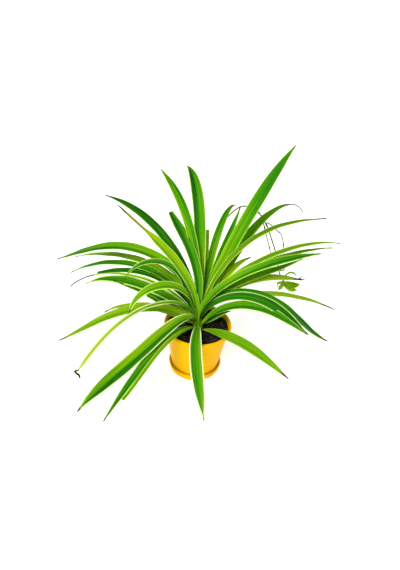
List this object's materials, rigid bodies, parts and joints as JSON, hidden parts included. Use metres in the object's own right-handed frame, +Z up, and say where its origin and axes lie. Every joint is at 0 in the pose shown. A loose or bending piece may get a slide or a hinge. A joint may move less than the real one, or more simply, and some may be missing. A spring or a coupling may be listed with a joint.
{
  "type": "potted spider plant",
  "caption": "Spider plant with long arching striped leaves and a hanging runner that bears a plantlet, in a small round yellow plastic pot on a matching saucer.",
  "frame": {"origin": "centre of the saucer's flat underside, on the surface the saucer stands on", "axes": "+Z up along the pot's axis; -Y is the front that the picture shows; +X is to the right seen from the front"},
  "size_m": [0.4729, 0.3788, 0.362],
  "materials": {
    "yellow_plastic": "satin injection-moulded polypropylene, warm yellow",
    "potting_mix": "loose dark peat and bark crumbs, matt",
    "leaf_base": "pale clasping leaf bases, satin",
    "leaf": "striped living leaf, pale edges on green, waxy satin",
    "runner_stem": "thin grey-green stem, matt",
    "young_leaf": "light green young leaf, satin"
  },
  "bodies": {
    "root": {"saucer": "yellow_plastic", "pot": "yellow_plastic", "potting_mix": "potting_mix", "crown": "leaf_base", "leaf_back_1": "leaf", "leaf_back_2": "leaf", "leaf_back_3": "leaf", "leaf_back_4": "leaf", "leaf_back_5": "leaf", "leaf_back_6": "leaf", "leaf_back_7": "leaf", "leaf_back_8": "leaf", "leaf_back_9": "leaf", "leaf_back_10": "leaf", "leaf_left_1": "leaf", "leaf_left_2": "leaf", "leaf_left_3": "leaf", "leaf_left_4": "leaf", "leaf_left_5": "leaf", "leaf_left_6": "leaf", "leaf_left_7": "leaf", "leaf_left_8": "leaf", "leaf_left_9": "leaf", "leaf_left_10": "leaf", "leaf_left_11": "leaf", "leaf_left_12": "leaf", "leaf_left_13": "leaf", "leaf_left_14": "leaf", "leaf_front_1": "leaf", "leaf_front_2": "leaf", "leaf_front_3": "leaf", "leaf_front_4": "leaf", "leaf_front_5": "leaf", "leaf_right_1": "leaf", "leaf_right_2": "leaf", "leaf_right_3": "leaf", "leaf_right_4": "leaf", "leaf_right_5": "leaf", "leaf_right_6": "leaf", "leaf_right_7": "leaf", "leaf_right_8": "leaf", "leaf_right_9": "leaf", "leaf_right_10": "leaf", "leaf_right_11": "leaf", "leaf_right_12": "leaf", "runner": "runner_stem", "runner_side_left": "runner_stem", "runner_side_right": "runner_stem", "plantlet": "young_leaf", "plantlet_leaf_1": "young_leaf", "plantlet_leaf_2": "young_leaf", "plantlet_leaf_3": "young_leaf", "plantlet_leaf_4": "young_leaf", "plantlet_leaf_5": "young_leaf"}
  },
  "joints": []
}
